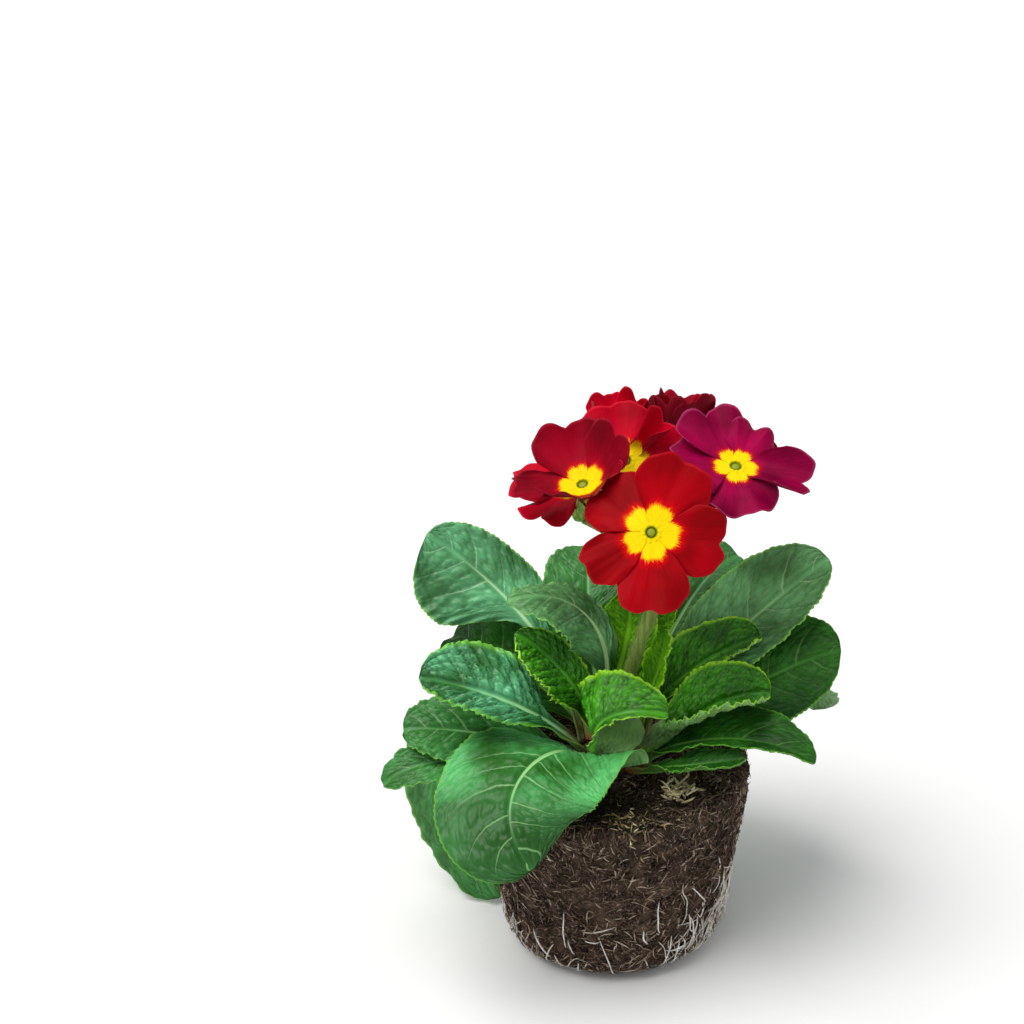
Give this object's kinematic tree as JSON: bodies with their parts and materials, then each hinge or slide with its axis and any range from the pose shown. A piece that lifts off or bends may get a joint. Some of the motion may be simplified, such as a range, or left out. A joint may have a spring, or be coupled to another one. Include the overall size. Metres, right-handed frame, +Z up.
{
  "type": "primrose plant with pot-shaped root ball",
  "caption": "Flowering primrose lifted out of its pot: a pot-shaped peat root ball, a rosette of crinkled leaves and a leaning stalk with an umbel of red, yellow-eyed blooms.",
  "frame": {"origin": "middle of the root ball's flat underside, on the surface the plant stands on", "axes": "+Z up, the side with the largest bloom and the wide front leaf faces -Y"},
  "size_m": [0.17, 0.1527, 0.2075],
  "materials": {
    "soil": "matte",
    "root_white": "matte",
    "crown": "matte",
    "leaf": "satin",
    "leaf_young": "satin",
    "stalk": "matte",
    "petal_red": "matte",
    "petal_magenta": "matte"
  },
  "bodies": {
    "root": {"root_ball": "soil", "root_net": "root_white", "crown": "crown", "flower_stalk": "stalk", "leaf_front_wide": "leaf", "leaf_left": "leaf", "leaf_left_tall": "leaf", "leaf_left_arching": "leaf", "leaf_left_young": "leaf_young", "leaf_front_young": "leaf_young", "leaf_right_folded": "leaf", "leaf_right": "leaf", "leaf_right_tall": "leaf", "leaf_right_broad": "leaf", "leaf_right_low": "leaf", "leaf_right_small": "leaf_young", "leaf_left_lower": "leaf", "leaf_left_low": "leaf", "leaf_left_hanging": "leaf", "leaf_heart_left": "leaf_young", "leaf_heart_right": "leaf_young", "leaf_heart_front": "leaf_young", "leaf_back_tall": "leaf", "leaf_left_back": "leaf", "leaf_right_back": "leaf", "leaf_back_low_left": "leaf", "leaf_back_low": "leaf", "leaf_back_low_right": "leaf", "bloom_front": "petal_red", "bloom_left": "petal_red", "bloom_left_low": "petal_red", "bloom_top": "petal_red", "bloom_back_left": "petal_red", "bloom_back": "petal_red", "bloom_right": "petal_magenta", "bloom_back_right": "petal_red", "bloom_rear": "petal_red"}
  },
  "joints": []
}
